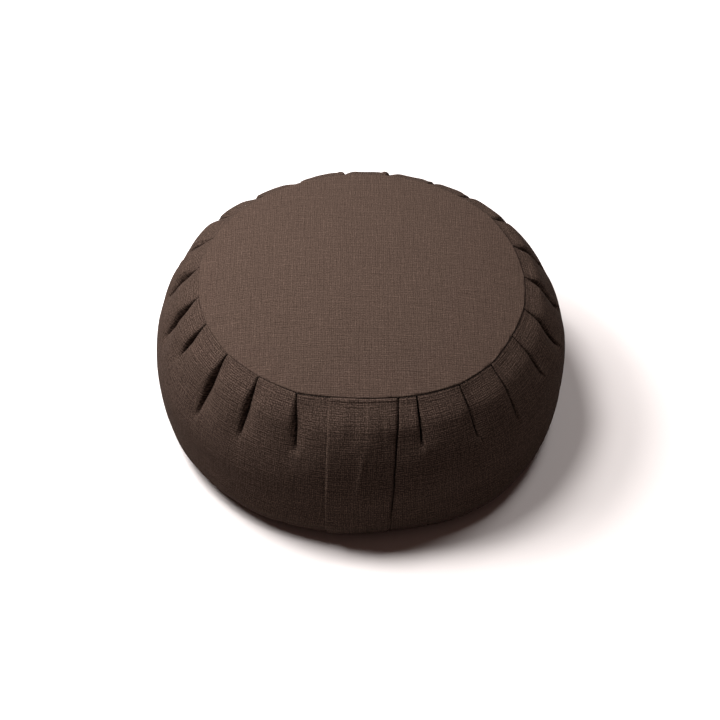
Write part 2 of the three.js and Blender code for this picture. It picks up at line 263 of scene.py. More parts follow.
# angle, shoulder, girth, lower
SETTLED = [
    (-90, 0.0, 0.3, 1.0),
    (-75, 0.0, 0.3, 1.5),
    (-62, 0.0, 0.5, 4.5),
    (-52, 0.0, 1.0, 4.8),
    (-45, 0.0, 0.5, 3.4),
    (-38, 0.0, -0.5, 1.2),
    (-30, 0.0, -1.5, -0.5),
    (-20, 0.3, -2.6, -2.8),
    (-10, 0.3, -3.2, -3.2),
    (5, -1.2, -5.0, -3.0),
    (20, -0.4, -4.0, -2.0),
    (32, 1.0, -2.0, -1.0),
    (45, 1.2, -0.5, 0.0),
    (62, 1.0, 0.0, 0.0),
    (75, 2.8, 0.0, 0.0),
    (90, 1.6, 0.0, 0.0),
    (100, 2.6, 0.0, 0.0),
    (112, 1.2, 0.0, 0.0),
    (125, 1.6, 0.0, 0.0),
    (142, 3.4, 0.4, 0.0),
    (152, 3.0, 0.8, -0.2),
    (160, 1.6, 0.6, -0.5),
    (168, 1.4, 1.0, -0.5),
    (178, 0.0, -1.6, -1.5),
    (190, 0.0, -1.6, -1.5),
    (198, 0.0, -0.5, -1.5),
    (212, 0.0, 0.3, 1.0),
    (226, 0.0, 0.6, 2.0),
    (240, 0.0, 1.3, 4.0),
    (252, 0.0, 1.2, 3.8),
    (270, 0.0, 0.3, 1.0),
]


def smooth(x):
    t = np.clip(x, 0.0, 1.0)
    return t * t * (3 - 2 * t)


def mix(a, b, t):
    return a + (b - a) * t


def rise_and_fall(x, start, full, end, fade):
    """From a start at 0 up to 1 where it is full, and from an end down to 0 over its fade."""
    return mix(start, 1.0, smooth(x / full)) * (1 - smooth((x - end) / fade))


def window(x, start, rise, end, fall):
    """1 between a start and an end, with a soft edge just inside either."""
    return smooth((x - start) / rise) * smooth((end - x) / fall)


def softened(values, spread, closed=False):
    """Values smoothed over their neighbours, with a bell of the given spread in steps."""
    reach = int(3 * spread)
    bell = np.exp(-0.5 * (np.arange(-reach, reach + 1) / spread) ** 2)
    padded = np.pad(values, reach, mode="wrap" if closed else "edge")
    return np.convolve(padded, bell / bell.sum(), mode="valid")


def side_distance(share, height):
    """Distance down the side from the top seam."""
    radius = BOTTOM_SEAM_RADIUS + (GIRTH_RADIUS - BOTTOM_SEAM_RADIUS) * share
    return np.concatenate([[0], np.cumsum(np.hypot(np.diff(radius), np.diff(height)))])


def meridian_rows():
    """Meridian of the plain side by distance from the top seam."""
    turn = np.linspace(90, 0, UPPER_SAMPLES)
    upper_share = np.cos(np.radians(turn)) ** UPPER_FULLNESS
    upper_z = GIRTH_HEIGHT + (TOP_SEAM_HEIGHT - GIRTH_HEIGHT) * np.sin(np.radians(turn)) ** UPPER_FULLNESS
    turn = np.linspace(0, 90, LOWER_SAMPLES)[1:]
    lower_share = np.cos(np.radians(turn)) ** LOWER_FULLNESS
    lower_z = GIRTH_HEIGHT - (GIRTH_HEIGHT - RIM_HEIGHT) * np.sin(np.radians(turn)) ** LOWER_FULLNESS
    share = np.concatenate([upper_share, lower_share])
    height = np.concatenate([upper_z, lower_z])
    along = side_distance(share, height)
    girth = along[len(upper_share) - 1]
    even = np.arange(0, along[-1], MERIDIAN_STEP)
    share, height = np.interp(even, along, share), np.interp(even, along, height)
    eased = window(even, ROUND_BELOW_TOP, ROUND_EASE, even[-1] - ROUND_ABOVE_BASE, ROUND_EASE)
    share = mix(share, softened(share, GIRTH_ROUND / MERIDIAN_STEP), eased)
    height = mix(height, softened(height, GIRTH_ROUND / MERIDIAN_STEP), eased)
    share = share / share.max()
    radius = BOTTOM_SEAM_RADIUS + (GIRTH_RADIUS - BOTTOM_SEAM_RADIUS) * share
    return side_distance(share, height), share, height, radius, even <= girth


ALONG, SHARE, HEIGHT, RADIUS, IS_UPPER = meridian_rows()
SIDE_LENGTH = float(ALONG[-1])
GIRTH_ALONG = float(ALONG[IS_UPPER][-1])

# Rows of the side as one column, closest beside the seam and the folds: from, to and pitch of each run.
ROW_RUNS = [(0, 6, 0.75), (6, 66, 1.15), (66, 112, 3.0), (112, SIDE_LENGTH - 1, 2.2)]
ROWS = np.concatenate([np.arange(*run) for run in ROW_RUNS] + [[SIDE_LENGTH]]).reshape(-1, 1)
ROW_SHARE = np.interp(ROWS, ALONG, SHARE)
ROW_HEIGHT = np.interp(ROWS, ALONG, HEIGHT)
ROW_RADIUS = np.interp(ROWS, ALONG, RADIUS)


def row_normals():
    step = 0.4
    before = np.clip(ROWS - step, 0, SIDE_LENGTH)
    after = np.clip(ROWS + step, 0, SIDE_LENGTH)
    run_r = np.interp(after, ALONG, RADIUS) - np.interp(before, ALONG, RADIUS)
    run_z = np.interp(after, ALONG, HEIGHT) - np.interp(before, ALONG, HEIGHT)
    length = np.hypot(run_r, run_z)
    return -run_z / length, run_r / length


ROW_OUT_R, ROW_OUT_Z = row_normals()
BAND_EDGES = [np.interp(ROWS, BAND_ALONG, edge) for edge in (BAND_LEFT, BAND_RIGHT)]
BAND_WIDTH = np.radians(BAND_EDGES[1] - BAND_EDGES[0]) * ROW_RADIUS

# Sewn corners of both seams, angle and radius: every pleat and both edges of the band.
TOP_CORNERS = [(p.angle, p.ring) for p in TOP_PLEATS]
TOP_CORNERS += [(BAND_LEFT[0], BAND_RING_LEFT), (BAND_RIGHT[0], BAND_RING_RIGHT)]
BOTTOM_CORNERS = [(p.angle, BOTTOM_SEAM_RADIUS) for p in TOP_PLEATS]
BOTTOM_CORNERS += [(BAND_LEFT[-1], BOTTOM_SEAM_RADIUS), (BAND_RIGHT[-1], BOTTOM_SEAM_RADIUS)]


def seam_radius(corners, angle):
    """Radius of a seam that runs straight from one sewn corner to the next."""
    start = corners[0][0]
    places = np.array([c[0] for c in corners] + [start + 360])
    rings = np.array([c[1] for c in corners] + [corners[0][1]])
    swing = start + np.mod(np.asarray(angle) - start, 360)
    index = np.clip(np.searchsorted(places, swing, side="right") - 1, 0, len(corners) - 1)
    past = np.radians(swing - places[index])
    whole = np.radians(places[index + 1] - places[index])
    a, b = rings[index], rings[index + 1]
    straight = a * b * np.sin(whole) / (a * np.sin(past) + b * np.sin(whole - past))
    rounded = mix(a, b, past / whole)
    return mix(rounded, straight, SEAM_TAUT)


def unevenness(angle, along, seed, waves=26, size=0.45, top=25, base=40):
    """Slow swells of the filling under the side cloth, whole waves round the girth, fading at both seams."""
    rng = np.random.default_rng(seed)
    total = np.zeros(np.broadcast(angle, along).shape)
    for _ in range(waves):
        round_waves = rng.integers(1, 17)
        down_waves = rng.uniform(0, 2.6)
        phase = rng.uniform(0, 2 * math.pi)
        weight = 1 / (1 + 0.12 * round_waves)
        swing = np.radians(angle) * round_waves + along / SIDE_LENGTH * 2 * math.pi * down_waves + phase
        total += weight * np.cos(swing)
    return size * total / math.sqrt(waves / 2) * window(along, 0, top, SIDE_LENGTH, base)


def settling(angle, along):
    """The settled filling's push on the side cloth."""
    places, *columns = zip(*SETTLED)
    each = np.arange(-90, 270)
    swing = np.mod(np.asarray(angle) + 90, 360) - 90
    eased = [softened(np.interp(each, places, column), SETTLED_SPREAD, closed=True) for column in columns]
    shoulder, girth, lower = (np.interp(swing, each, column, period=360) for column in eased)
    below_shoulder = smooth((along - SETTLED_SHOULDER) / SETTLED_EASE)
    below_girth = smooth((along - SETTLED_GIRTH) / SETTLED_EASE)
    above_base = 1 - smooth((along - SIDE_LENGTH + SETTLED_BASE) / SETTLED_BASE_EASE)
    upper = mix(shoulder * smooth(along / SETTLED_TOP), girth, below_shoulder)
    return mix(upper, lower * above_base, below_girth)


def leftward(angle):
    """0 at the right and the front, 1 at the left, where the seam lies closed."""
    return smooth((-LEFT_FROM - np.cos(np.radians(angle))) / LEFT_EASE)


def seam_gap(angle):
    """Half the gap of the top seam."""
    return mix(SEAM_GAP, SEAM_GAP_LEFT, leftward(angle))


def seam_dip(angle, along):
    """The groove of the top seam, drawn tight at the right and shallow at the left."""
    return mix(SEAM_DIP, SEAM_DIP_LEFT, leftward(angle)) * (1 - smooth(along / SEAM_REACH))


# Every fold of the side, in order round the cushion: the pleats and the folded edge over the band.
Fold = namedtuple("Fold", "angle overlap broad plunge width mouth lip blend swell taut gape roll is_band")


def plunging(share):
    """How deep the lower layer plunges under the lip along a fold."""
    fading = np.clip((1 - share) / PLUNGE_FADE, 0, 1) ** PLUNGE_TAPER
    return mix(PLUNGE_START, 1.0, smooth(share / PLUNGE_FULL)) * fading


def gaping(share):
    """How far back from the lip the plunge begins: a point at the seam, then wider to the soft lower end."""
    widening = mix(1.0, MOUTH_END, smooth((share - MOUTH_FULL) / MOUTH_FULL))
    return mix(MOUTH_START, 1.0, smooth(share / MOUTH_FULL)) * widening


def pleat_fold(p):
    top = ROWS / (PLEAT_RUN * p.length)
    bottom = (SIDE_LENGTH - ROWS) / BOTTOM_PLEAT_LENGTH
    near = np.minimum(top, bottom)
    left_over = np.clip(1 - top, 0, 1) ** OVERLAP_TAPER + np.clip(1 - bottom, 0, 1) ** OVERLAP_TAPER
    plunge = PLUNGE * mix(FLAT_PLUNGE, 1.0, p.gape) * p.depth * plunging(top)
    plunge = plunge + BOTTOM_PLEAT_DEPTH * plunging(bottom)
    groove = GROOVE_SHARE * mix(FLAT_GROOVE, 1.0, p.gape) * min(p.depth, GROOVE_DEPTH) + ROLL_DIP * p.roll
    broad = groove * rise_and_fall(top, *DIMPLE) + BOTTOM_GROOVE * rise_and_fall(bottom, *DIMPLE)
    rounding = p.roll * rise_and_fall(top, *ROLLING)
    rounding = np.maximum(rounding, END_ROLL * smooth((top - END_ROLL_FROM) / END_ROLL_FADE))
    drift = p.slant * np.minimum(top, 1) * (1 - smooth((ROWS - GIRTH_ALONG) / DRIFT_FADE))
    return Fold(
        angle=p.angle + drift,
        overlap=FOLD_OVERLAP * left_over,
        broad=broad,
        plunge=plunge,
        width=p.dip * mix(GROOVE_NARROW, 1.0, smooth(near / GROOVE_FULL)),
        mouth=PLUNGE_WIDTH * mix(FLAT_MOUTH, 1.0, p.gape) * gaping(near),
        lip=np.minimum(mix(LIP_RADIUS, ROLL_RADIUS, rounding), (plunge + broad) / LIP_LAYERS),
        blend=smooth((1 - near) / FOLD_BLEND),
        swell=rise_and_fall(top, *OPENING),
        taut=p.taut * (1 - smooth((top - TAUT_UNTIL) / (1 - TAUT_UNTIL))),
        gape=p.gape,
        roll=p.roll,
        is_band=False,
    )


def band_freedom(along, floor_end):
    """How free the band is of the seams at its two ends: 0 where sewn in, 1 along its middle."""
    return window(along, 0, BAND_SEWN_RUN, SIDE_LENGTH - floor_end, BAND_FLOOR_RUN)


def band_closing(along):
    """The lip over the band lies open along the upper side and closes toward the base."""
    return mix(BAND_CLOSED, 1.0, smooth((BAND_OPEN_END - along) / BAND_CLOSING))


def band_fold():
    nothing = np.zeros_like(ROWS)
    return Fold(
        angle=BAND_EDGES[1],
        overlap=nothing + BAND_OVERLAP,
        broad=nothing,
        plunge=nothing,
        width=BAND_WIDTH,
        mouth=nothing + BAND_MOUTH,
        lip=LIP_RADIUS * band_closing(ROWS),
        blend=nothing + 1,
        swell=band_freedom(ROWS, BAND_LIP_END),
        taut=nothing,
        gape=0.7,
        roll=0.0,
        is_band=True,
    )


def band_face(along, width, behind):
    """Height of the band's face: proud at its free left edge, flush at the right, then down under the lip."""
    free_edge = BAND_PROUD * mix(BAND_SEWN_PROUD, 1.0, band_freedom(along, BAND_FLOOR_END))
    proud = mix(free_edge, BAND_FLUSH, np.clip(1 + behind / width, 0, 1) ** BAND_SLOPE)
    tuck = BAND_TUCK * mix(BAND_SEWN_TUCK, 1.0, smooth(along / BAND_SEWN_RUN)) * band_closing(along)
    return proud - tuck * smooth((behind + BAND_MOUTH) / (BAND_MOUTH + BAND_UNDER))


def band_floor(along, width, behind):
    """How far the side lies sunk below its own line to make room for the band."""
    return BAND_THICKNESS + BAND_CLEAR - band_face(along, width, behind)


def creased(rows_of, angle, along):
    """Height of a table of creases at places on the side."""
    total = np.zeros(np.broadcast(angle, along).shape)
    for c in rows_of:
        run = c.to_along - c.along
        t = (along - c.along) / run if abs(run) > CREASE_LEVEL else (angle - c.angle) / (c.to_angle - c.angle)
        line = mix(c.angle, c.to_angle, t)
        away = np.radians(np.mod(angle - line + 180, 360) - 180) * GIRTH_RADIUS
        lean = math.hypot(run, math.radians(c.to_angle - c.angle) * GIRTH_RADIUS)
        away = away * abs(run) / lean
        along_line = window(t, -CREASE_PAST, CREASE_FADE, 1 + CREASE_PAST, CREASE_FADE)
        total += c.height * along_line * np.exp(-(away / c.spread) ** 2)
    return total


FOLDS = [pleat_fold(p) for p in TOP_PLEATS] + [band_fold()]

# Columns across one panel: under the lip, round it, over the panel and down into the following fold.
UNDER_COLUMNS = 4
LIP_COLUMNS = 7
PANEL_COLUMNS = 11
DIP_COLUMNS = 14
FOLDED_SHARE = 0.1
DIP_SHARE = 0.24
DIP_WIDEST = 0.96
MOUTH_SHARE = 0.3


def panel_between(fold, following, next_angle):
    """One panel of the side, from under the lip of its fold to under the lip of the following fold.
    Returns the distance round from the fold and the height, each (rows, columns), and the panel's width."""
    wide = np.radians(next_angle - fold.angle) * ROW_RADIUS
    depth = fold.broad + fold.plunge
    if fold.is_band:
        depth = depth + band_floor(ROWS, fold.width, fold.overlap)
    # underside of the upper layer, from the pocket out to the lip
    t = np.linspace(0, 1, UNDER_COLUMNS, endpoint=False)
    under_x = mix(fold.overlap, fold.lip, t)
    under_h = mix(-depth, -2 * fold.lip, smooth(t))
    # rolled lip, from its underside round to its top
    turn = np.radians(np.linspace(-90, -270, LIP_COLUMNS))
    lip_x = fold.lip * (1 + np.cos(turn))
    lip_h = fold.lip * (-1 + np.sin(turn))
    head_flat = np.linspace(0, FOLDED_SHARE, UNDER_COLUMNS + LIP_COLUMNS) * wide
    head_x = mix(head_flat, np.concatenate([under_x, lip_x], 1), fold.blend)
    head_h = np.concatenate([under_h, lip_h], 1) * fold.blend
    # the following fold's dip: columns gather toward its lip, where the cloth turns down and under it
    dip, mouth = np.minimum(following.width, DIP_WIDEST * wide), following.mouth
    t = np.linspace(0, 1, DIP_COLUMNS, endpoint=False)
    before_mouth = mix(-dip, -mouth, t / MOUTH_SHARE)
    past_mouth = mix(-mouth, following.overlap, (t - MOUTH_SHARE) / (1 - MOUTH_SHARE))
    behind = np.where(t < MOUTH_SHARE, before_mouth, past_mouth)
    if following.is_band:
        tail_h = -band_floor(ROWS, dip, behind) * np.minimum(1, BAND_STEP_START + BAND_STEP_RAMP * t)
    else:
        rolled = np.exp(-((behind + mouth + SHOULDER_BACK) / SHOULDER_REACH) ** 2)
        tail_h = -following.broad * smooth((behind + dip) / dip)
        tail_h = tail_h - following.plunge * smooth((behind + mouth) / (mouth + PLUNGE_UNDER))
        tail_h = tail_h + SHOULDER_SWELL * following.gape * following.swell * rolled
    tail_flat = mix(1 - DIP_SHARE, 1.0, t) * wide
    tail_x = mix(tail_flat, wide + behind, following.blend)
    tail_h = tail_h * following.blend
    # the open panel between
    panel_x = mix(head_x[:, -1:], tail_x[:, :1], np.linspace(0, 1, PANEL_COLUMNS + 2)[1:-1])
    x = np.concatenate([head_x, panel_x, tail_x], 1)
    h = np.concatenate([head_h, np.zeros_like(panel_x), tail_h], 1)
    # the lip stands up a little and the filling swells the panel behind it
    outer = np.ones(x.shape[1])
    outer[:UNDER_COLUMNS] = 0
    outer[UNDER_COLUMNS:UNDER_COLUMNS + LIP_COLUMNS] = np.linspace(0, 1, LIP_COLUMNS)
    lifted = 0.0 if fold.is_band else LIP_RISE
    near_lip = np.exp(-(np.maximum(x, 0) / LIP_REACH) ** 2)
    h = h + outer * (mix(lifted, -LIP_DROP, fold.taut) * fold.swell * near_lip)
    return x, h + panel_pillow(fold, following, x, wide), wide


def ramp(share):
    """Rise of a pillowed panel away from a taut fold."""
    return 1 - (1 - np.clip(share, 0, 1)) ** 2


def panel_swell(along, roll=0.0):
    """How far the panels swell between the folds, down the side: sooner beside rolled folds."""
    return PANEL_SWELL * rise_and_fall(along, 0.0, mix(*SWELL_RISE, roll ** 2), SWELL_FULL, SWELL_FALL)


# The filling's push on the side cloth, found by letting a coarse copy of the cloth swell under pressure
# while its seams and folds hold.
PUSH_ROW_PITCH = 5.0
PUSH_COLUMNS = 9
PUSH_STEPS = 20
PUSH_PRESSURE = 20.0
PUSH_SLACK = 0.03
PUSH_CAP = 3.0
PUSH_HELD_BELOW = 6.0
PUSH_EASE = 0.75
PUSH_LEVEL = 0.6
PUSH_GIRTH = 40.0
NARROW_PANEL = 7.0
PUSH_CLOTH = {
    "quality": 6, "mass": 0.3, "air_damping": 4,
    "tension_stiffness": 15, "compression_stiffness": 15, "shear_stiffness": 5, "bending_stiffness": 0.5,
    "vertex_group_mass": "held", "pin_stiffness": 1.0,
    "use_pressure": True, "uniform_pressure_force": PUSH_PRESSURE,
    "shrink_min": -PUSH_SLACK, "shrink_max": -PUSH_SLACK,
}


def next_fold(k):
    """The fold after fold k, and its angles carried past a full turn where needed."""
    following = FOLDS[(k + 1) % len(FOLDS)]
    return following, following.angle + (360 if k == len(FOLDS) - 1 else 0)


def swollen(cloth, held):
    """Points of a cloth, in millimetres, after it has swollen under pressure where it isn't held."""
    group = cloth.vertex_groups.new(name="held")
    for index, weight in enumerate(held.ravel()):
        group.add([index], float(weight), "REPLACE")
    swell = cloth.modifiers.new("swell", "CLOTH")
    for name, value in PUSH_CLOTH.items():
        setattr(swell.settings, name, value)
    swell.settings.effector_weights.gravity = 0
    swell.point_cache.frame_end = PUSH_STEPS
    scene = bpy.context.scene
    for step in range(1, PUSH_STEPS + 1):
        scene.frame_set(step)
    moved = cloth.evaluated_get(bpy.context.evaluated_depsgraph_get()).to_mesh()
    after = np.empty(len(moved.vertices) * 3)
    moved.vertices.foreach_get("co", after)
    scene.frame_set(1)
    return after.reshape(*held.shape, 3) / MM


def filling_push():
    """How far the filling moves the cloth of each panel: one (rows, shares) table for each panel."""
    wanted = np.arange(0, SIDE_LENGTH + PUSH_ROW_PITCH, PUSH_ROW_PITCH)
    picked = np.unique(np.abs(ROWS - wanted).argmin(0))
    share = np.arange(PUSH_COLUMNS) / PUSH_COLUMNS
    angle, h, held = [], [], []
    for k, fold in enumerate(FOLDS):
        following, next_angle = next_fold(k)
        turn = next_angle - fold.angle
        wide = np.radians(turn) * ROW_RADIUS
        angle.append(fold.angle + turn * share)
        h.append(panel_pillow(fold, following, wide * share, wide))
        hold = np.zeros_like(h[-1])
        hold[:, :1] = BAND_HELD if fold.is_band else fold.taut
        held.append(hold)
    angle, h, held = (np.concatenate(g, 1) for g in (angle, h, held))
    points = side_surface(angle, h)[picked]
    angle, held = angle[picked], held[picked]
    held[0] = 1
    held[ROW_HEIGHT[picked, 0] < PUSH_HELD_BELOW] = 1
    cloth = grid_object("filling_push", points, angle, angle, SHADED_SIDE_CLOTH)
    shift = swollen(cloth, held) - points
    bpy.data.objects.remove(cloth)
    turn = np.radians(angle)
    outward = shift[..., 0] * np.cos(turn) + shift[..., 1] * np.sin(turn)
    push = ROW_OUT_R[picked] * outward + ROW_OUT_Z[picked] * shift[..., 2]
    # the girth keeps its measured size, so only the unevenness counts there
    girth = smooth((ROWS[picked] - PUSH_GIRTH) / PUSH_GIRTH)
    push = push - mix(PUSH_LEVEL, 1.0, girth) * push.mean(1, keepdims=True)
    push = PUSH_CAP * np.tanh(push / PUSH_CAP) * (1 - PUSH_EASE * girth)
    push = sum(np.roll(push, step, 1) for step in (-1, 0, 1)) / 3
    push[1:-1] = (push[:-2] + 2 * push[1:-1] + push[2:]) / 4
    down = ROWS[:, 0]
    by_row = np.stack([np.interp(down, down[picked], column) for column in push.T], 1)
    tables = []
    for k, fold in enumerate(FOLDS):
        columns = (k * PUSH_COLUMNS + np.arange(PUSH_COLUMNS + 1)) % by_row.shape[1]
        narrowest = float(np.min(next_fold(k)[1] - fold.angle))
        table = by_row[:, columns]
        even = mix(table[:, :1], table[:, -1:], np.linspace(0, 1, PUSH_COLUMNS + 1))
        tables.append(mix(even, table, smooth((narrowest - NARROW_PANEL) / NARROW_PANEL)))
    return tables


def panel_pillow(fold, following, x, wide):
    """Between two taut folds the filling swells the panel into a pillow."""
    start = 1 - fold.taut * (1 - ramp(x / mix(*LIP_RAMP, fold.roll)))
    end = 1 - following.taut * (1 - ramp((wide - x) / mix(*FAR_RAMP, following.roll)))
    roll = mix(fold.roll, following.roll, np.clip(x / wide, 0, 1))
    return panel_swell(ROWS, roll) * start * end


def pushed(table, share):
    """A panel's push at places across it, read from its table."""
    place = np.clip(share, 0, 1) * PUSH_COLUMNS
    low = np.minimum(place.astype(int), PUSH_COLUMNS - 1)
    row = np.arange(len(ROWS)).reshape(-1, 1)
    return mix(table[row, low], table[row, low + 1], place - low)


def build_side():
    """Angle, height and cloth length round the side, each (rows, columns), and the cloth's whole length."""
    angle, height, cloth_u = [], [], []
    run = 0.0
    for k, fold in enumerate(FOLDS):
        following, next_angle = next_fold(k)
        x, h, wide = panel_between(fold, following, next_angle)
        angle.append(fold.angle + np.degrees(x / ROW_RADIUS))
        height.append(h + pushed(PUSH[k], x / wide))
        full = math.radians(np.max(next_angle - fold.angle)) * GIRTH_RADIUS
        cloth_u.append(run + full / 2 + x - wide / 2)
        run += full
    return *(np.concatenate(g, 1) for g in (angle, height, cloth_u)), run


def side_surface(angle, h):
    """Points of the side from angles and heights, each (rows, columns)."""
    upper, lower = seam_radius(TOP_CORNERS, angle), seam_radius(BOTTOM_CORNERS, angle)
    ring = np.where(ROWS <= GIRTH_ALONG, upper, lower) + seam_gap(angle)
    radius = ring + (GIRTH_RADIUS - ring) * ROW_SHARE + ROW_OUT_R * h
    height = np.maximum(ROW_HEIGHT + ROW_OUT_Z * h, BASE_CLEAR)
    a = np.radians(angle)
    return np.stack([radius * np.cos(a), radius * np.sin(a), height], 2)


def placed(name, data):
    """A new object in the scene."""
    made = bpy.data.objects.new(name, data)
    bpy.context.collection.objects.link(made)
    return made


def cell_corners(grid):
    """The four corners of every cell of a grid."""
    return np.stack([grid[:-1, :-1], grid[1:, :-1], grid[1:, 1:], grid[:-1, 1:]], 2).reshape(-1, 4)


def grid_object(name, points, u, v, material, u_turn=0.0, first_pole=None, last_pole=None):
    """A mesh from a grid of points (rows, columns), closed round the columns, with a pole at either end."""
    rows, cols = points.shape[:2]
    index = np.arange(rows * cols).reshape(rows, cols)
    index = np.concatenate([index, index[:, :1]], 1)
    u = np.concatenate([u, u[:, :1] + u_turn], 1)
    v = np.concatenate([v, v[:, :1]], 1)
    verts = (points.reshape(-1, 3) * MM).tolist()
    faces = cell_corners(index).tolist()
    face_uv = np.stack([cell_corners(u), cell_corners(v)], 2).reshape(-1, 2)
    pole_uv = []
    for pole, row, step in ((first_pole, 0, 1), (last_pole, rows - 1, -1)):
        if pole is None:
            continue
        tip = len(verts)
        verts.append([p * MM for p in pole])
        for j in range(cols):
            faces.append([tip] + index[row, j:j + 2].tolist()[::step])
            pole_uv += [[u[row, j], v[row, j]]] * 3
    mesh = bpy.data.meshes.new(name)
    mesh.from_pydata(verts, [], faces)
    layer = mesh.uv_layers.new(name="cloth")
    all_uv = np.concatenate([face_uv, np.array(pole_uv).reshape(-1, 2)]) * MM
    layer.data.foreach_set("uv", all_uv.astype(np.float32).ravel())
    mesh.polygons.foreach_set("use_smooth", [True] * len(mesh.polygons))
    mesh.materials.append(material)
    mesh.update()
    return placed(name, mesh)


def node(tree, kind, **inputs):
    made = tree.nodes.new(kind)
    for key, value in inputs.items():
        made.inputs[key].default_value = value
    return made


def maths(tree, operation, a, b=None):
    made = tree.nodes.new("ShaderNodeMath")
    made.operation = operation
    for slot, value in enumerate((a, b)):
        if value is None:
            continue
        if isinstance(value, (int, float)):
            made.inputs[slot].default_value = value
        else:
            tree.links.new(value, made.inputs[slot])
    return made.outputs[0]


def colour_between(tree, dark, light, share):
    made = tree.nodes.new("ShaderNodeMix")
    made.data_type = "RGBA"
    made.inputs["A"].default_value = (*dark, 1)
    made.inputs["B"].default_value = (*light, 1)
    tree.links.new(share, made.inputs["Factor"])
    return made.outputs["Result"]


# Cloth: a matt slub weave, thick and thin yarns both ways, on the cloth's own lengths in metres.
YARN_PITCH = 0.00062
SLUB_WANDER = 7.0
SLUB_CHANGE = 3.0
SLUB_THICKNESS = 0.7
FLECK_SIZE = 0.0011
RELIEF = 0.00011
DARK_YARN = (0.0175, 0.0113, 0.0087)
LIGHT_YARN = (0.0725, 0.0478, 0.0374)
LIGHT_THREADS = 1.7
WEAVE_SHARE = 0.12
CLOUD_SHARE = 0.1
CLOTH_SURFACE = {
    "Sheen Weight": 0.002,
    "Sheen Roughness": 0.5,
    "Sheen Tint": (0.9, 0.7, 0.55, 1),
    "Specular IOR Level": 0.01,
}


# depth scales both yarn colours, so a copy of this one cloth can be painted darker or lighter; the side copy
# uses it as painted shade
def slub_cloth(name, depth, slub_pitch, slub_length, warp_share, weft_share, fleck_share):
    material = bpy.data.materials.new(name)
    material.use_nodes = True
    tree = material.node_tree
    tree.nodes.clear()
    link = tree.links.new
    out = tree.nodes.new("ShaderNodeOutputMaterial")
    cloth = node(tree, "ShaderNodeBsdfPrincipled", **CLOTH_SURFACE)
    link(cloth.outputs[0], out.inputs[0])
    uv = tree.nodes.new("ShaderNodeUVMap")
    uv.uv_map = "cloth"
    split = tree.nodes.new("ShaderNodeSeparateXYZ")
    link(uv.outputs[0], split.inputs[0])
    u, v = split.outputs[0], split.outputs[1]

    def times(value, factor):
        return maths(tree, "MULTIPLY", value, factor)

    def unsteady(across, along, width, length, seed):
        """A slow change from yarn to yarn and along each yarn, about 0."""
        place = tree.nodes.new("ShaderNodeCombineXYZ")
        link(times(across, 1 / width), place.inputs[0])
        link(times(along, 1 / length), place.inputs[1])
        place.inputs[2].default_value = seed
        noise = node(tree, "ShaderNodeTexNoise", Scale=1.0, Detail=0.0)
        link(place.outputs[0], noise.inputs["Vector"])
        return maths(tree, "SUBTRACT", noise.outputs[0], 0.5)

    def slubs(across, along, pitch, seed):
        """A set of thick yarns side by side, uneven in spacing and in thickness."""
        wander = unsteady(across, along, 1.3 * pitch, 4 * slub_length, seed)
        even = times(across, 2 * math.pi / pitch)
        turn = maths(tree, "ADD", even, times(wander, SLUB_WANDER))
        thick = unsteady(across, along, 0.9 * pitch, slub_length, seed + 5)
        thick = maths(tree, "ADD", times(thick, SLUB_CHANGE), SLUB_THICKNESS)
        return times(maths(tree, "SINE", turn), thick)

    def mottled(**look):
        """Noise over the cloth, about 0."""
        noise = node(tree, "ShaderNodeTexNoise", **look)
        link(uv.outputs[0], noise.inputs["Vector"])
        return maths(tree, "SUBTRACT", noise.outputs[0], 0.5)

    def weighted(*parts):
        total = None
        for value, weight in parts:
            scaled = times(value, weight)
            total = scaled if total is None else maths(tree, "ADD", total, scaled)
        return total

    warp = slubs(u, v, 0.9 * slub_pitch, 3.1)
    weft = slubs(v, u, slub_pitch, 7.7)
    # plain weave: warp and weft come to the face by turns
    over_u = maths(tree, "SINE", times(u, math.pi / YARN_PITCH))
    over_v = maths(tree, "SINE", times(v, math.pi / YARN_PITCH))
    weave = times(over_u, over_v)
    cloud = mottled(Scale=18.0, Detail=2.0, Roughness=0.5)
    fleck = mottled(Scale=1 / FLECK_SIZE, Detail=1.0, Roughness=0.6)
    yarns = (warp, warp_share), (weft, weft_share)
    shade = node(tree, "ShaderNodeMapRange", **{"From Min": -1.0})
    tone = weighted(*yarns, (fleck, fleck_share), (weave, WEAVE_SHARE), (cloud, CLOUD_SHARE))
    link(tone, shade.inputs["Value"])
    # painted shade: a depth below 1 darkens both yarn colours of this copy of the cloth
    dark, light = ([depth * c for c in yarn] for yarn in (DARK_YARN, LIGHT_YARN))
    colour = colour_between(tree, dark, light, maths(tree, "POWER", shade.outputs[0], LIGHT_THREADS))
    link(colour, cloth.inputs["Base Color"])
    rough = node(tree, "ShaderNodeMapRange", **{"To Min": 0.97, "To Max": 0.88})
    link(shade.outputs[0], rough.inputs["Value"])
    link(rough.outputs[0], cloth.inputs["Roughness"])
    height = weighted((weave, WEAVE_SHARE), *yarns)
    bump = node(tree, "ShaderNodeBump", Strength=1.0, Distance=RELIEF)
    link(height, bump.inputs["Height"])
    link(bump.outputs[0], cloth.inputs["Normal"])
    return material


# One cloth in two copies: the side cloth, used on the side and the band, is painted darker than the panel
# cloth (depth 0.83 against 1.03) as painted shade on the side
SHADED_SIDE_CLOTH = slub_cloth(
    "side_cloth", depth=0.83, slub_pitch=0.0017, slub_length=0.007,
    warp_share=0.50, weft_share=0.62, fleck_share=5.0,
)
PANEL_CLOTH = slub_cloth(
    "panel_cloth", depth=1.03, slub_pitch=0.0019, slub_length=0.006,
    warp_share=0.26, weft_share=0.27, fleck_share=2.0,
)


